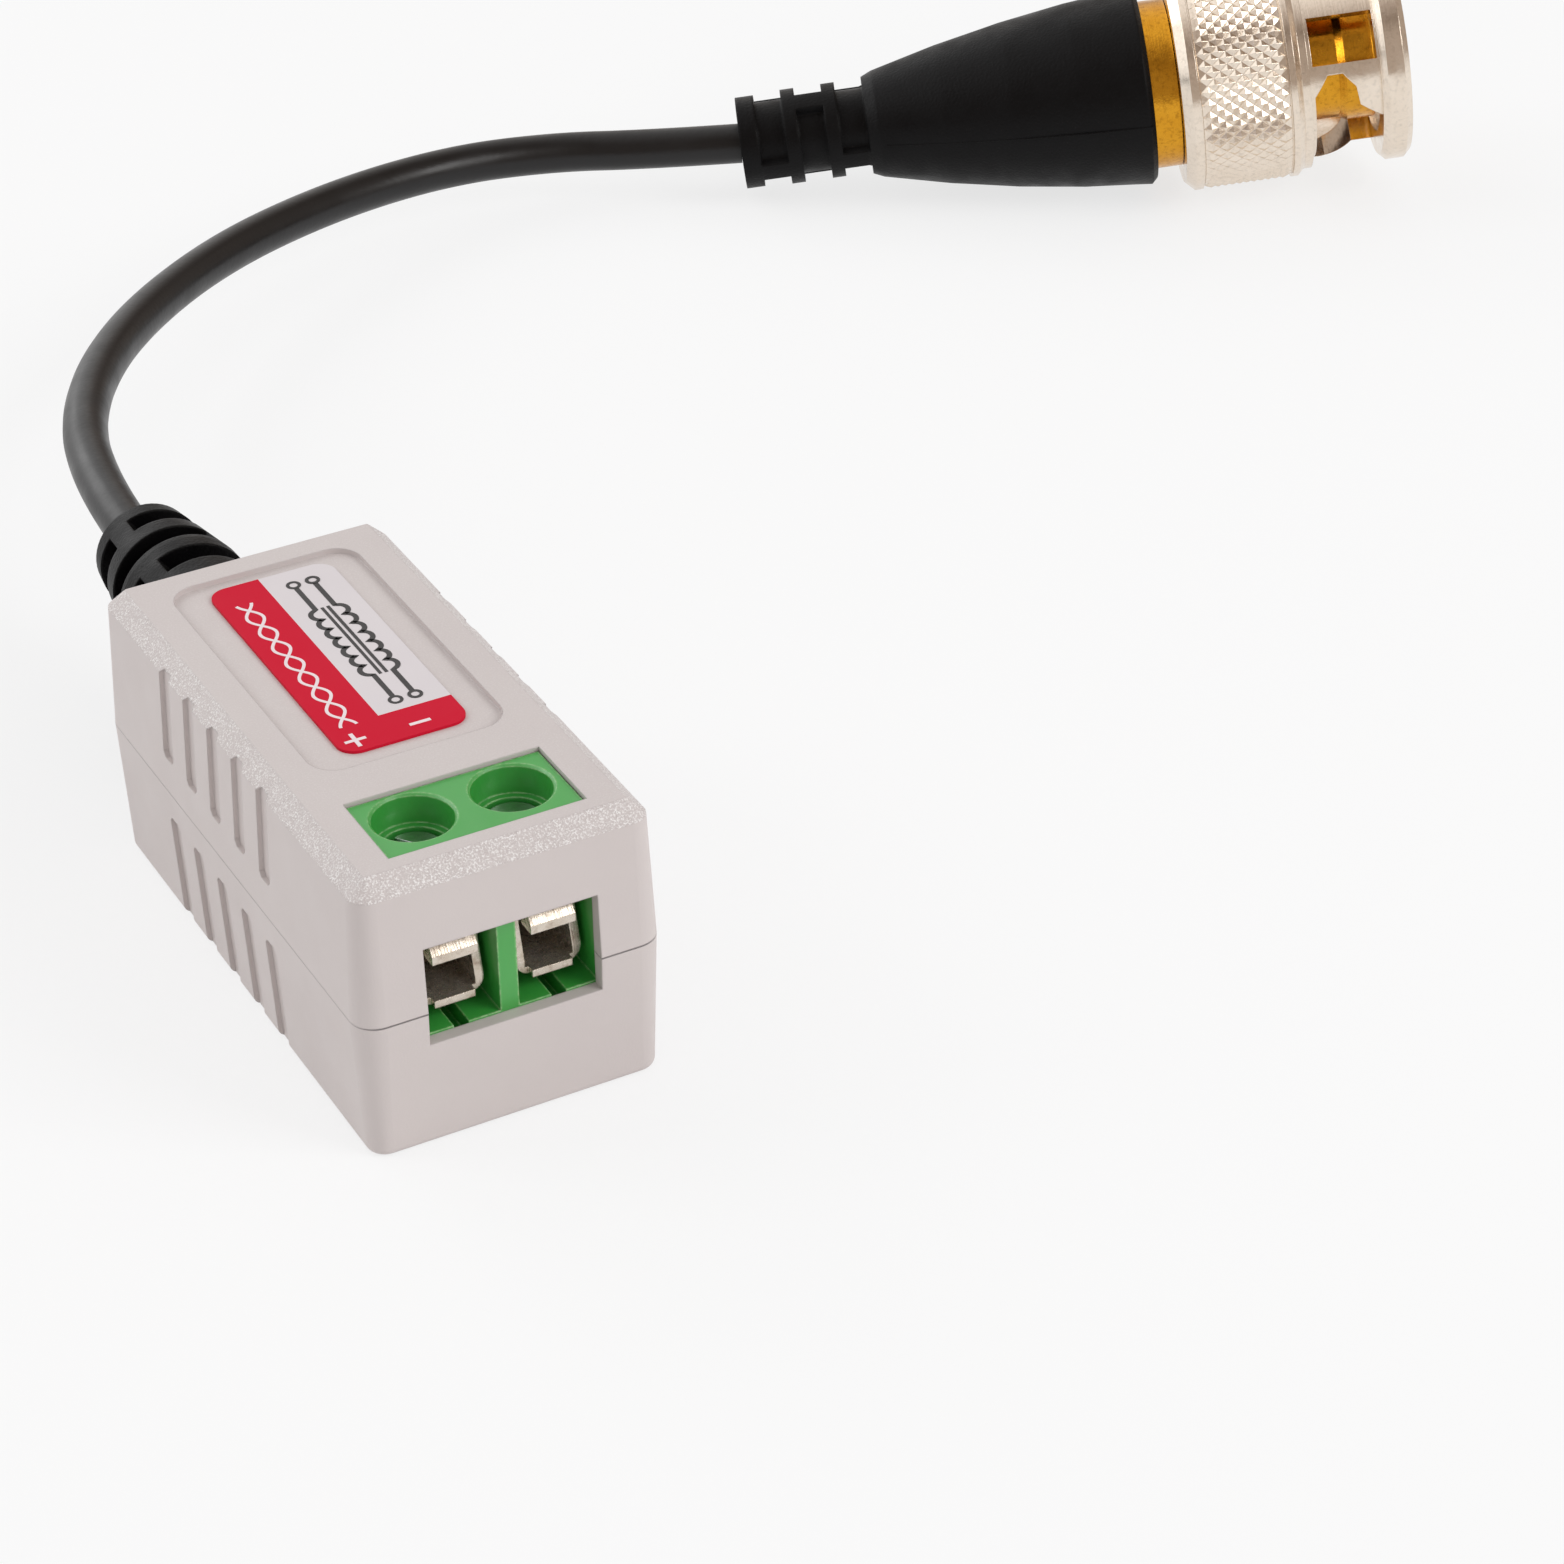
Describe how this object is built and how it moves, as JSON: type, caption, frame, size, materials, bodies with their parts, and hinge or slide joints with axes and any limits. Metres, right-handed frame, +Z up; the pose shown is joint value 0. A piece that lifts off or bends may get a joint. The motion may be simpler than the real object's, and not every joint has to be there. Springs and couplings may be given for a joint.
{
  "type": "passive video balun",
  "caption": "Small grey adapter box with a green screw terminal for a wire pair and a short black coaxial lead that ends in a bayonet plug.",
  "frame": {"origin": "centre of the case's underside, on the surface it stands on", "axes": "+Z up, +Y along the case from the screw terminal to the lead's exit, +X to the right seen from the terminal end"},
  "size_m": [0.1062, 0.0915, 0.0158],
  "materials": {
    "case_plastic": "fine matte moulding",
    "label_film": "printed film, satin",
    "terminal_plastic": "moulded, satin",
    "tinned_strip": "bright tin plate",
    "screw_steel": "bright zinc plate",
    "board": "solder resist on glass laminate",
    "ferrite": "matte ceramic",
    "enamelled_wire": "enamelled copper",
    "component_black": "moulded epoxy",
    "component_tan": "ceramic",
    "copper": "tinned copper strand",
    "black_moulding": "matte flexible vinyl",
    "cable_jacket": "satin vinyl",
    "gold": "gold plate",
    "insulator": "translucent",
    "nickel": "bright nickel plate",
    "spring_steel": "plain",
    "gasket_rubber": "silicone"
  },
  "bodies": {
    "case": {"lower_shell": "case_plastic", "upper_shell": "case_plastic", "label": "label_film", "terminal_housing": "terminal_plastic", "terminal_contact_left": "tinned_strip", "terminal_contact_right": "tinned_strip", "circuit_board": "board", "ferrite_core": "ferrite", "winding_primary": "enamelled_wire", "winding_secondary": "enamelled_wire", "surge_diode": "component_black", "chip_capacitor": "component_tan", "cable_centre_wire": "copper", "cable_braid_tail": "copper", "case_strain_relief": "black_moulding", "cable": "cable_jacket", "plug_boot": "black_moulding", "plug_body": "gold", "plug_insulator": "insulator", "centre_pin": "gold", "retaining_ring": "spring_steel", "gasket": "gasket_rubber"},
    "clamp_screw_left_body": {"clamp_screw_left": "screw_steel"},
    "clamp_screw_right_body": {"clamp_screw_right": "screw_steel"},
    "clamp_cage_left_body": {"clamp_cage_left": "tinned_strip"},
    "clamp_cage_right_body": {"clamp_cage_right": "tinned_strip"},
    "spring_stack": {"thrust_washer": "spring_steel", "wave_spring": "spring_steel"},
    "coupling_nut_body": {"coupling_nut": "nickel"}
  },
  "joints": [
    {"name": "screw_turn_left", "type": "hinge", "parent": "case", "child": "clamp_screw_left_body", "pos_m": [-0.00254, -0.01105, 0.0117], "axis": [0, 0, -1], "range_deg": [0, 1440]},
    {"name": "cage_rise_left", "type": "slide", "parent": "case", "child": "clamp_cage_left_body", "axis": [0, 0, 1], "range_m": [0, 0.002]},
    {"name": "screw_turn_right", "type": "hinge", "parent": "case", "child": "clamp_screw_right_body", "pos_m": [0.00254, -0.01105, 0.0117], "axis": [0, 0, -1], "range_deg": [0, 1440]},
    {"name": "cage_rise_right", "type": "slide", "parent": "case", "child": "clamp_cage_right_body", "axis": [0, 0, 1], "range_m": [0, 0.002]},
    {"name": "coupling_turn", "type": "hinge", "parent": "case", "child": "spring_stack", "pos_m": [0.08416, 0.05438, 0.00744], "axis": [0.8944, -0.4314, 0.1181], "continuous": true},
    {"name": "coupling_slide", "type": "slide", "parent": "spring_stack", "child": "coupling_nut_body", "axis": [0.8944, -0.4314, 0.1181], "range_m": [0, 0.0008], "stiffness_N_per_m": 10000, "deforming": ["wave_spring"]}
  ],
  "couplings": [
    {"joint": "screw_turn_left", "follows": "cage_rise_left", "rad_per_m": 12566},
    {"joint": "screw_turn_right", "follows": "cage_rise_right", "rad_per_m": 12566}
  ]
}
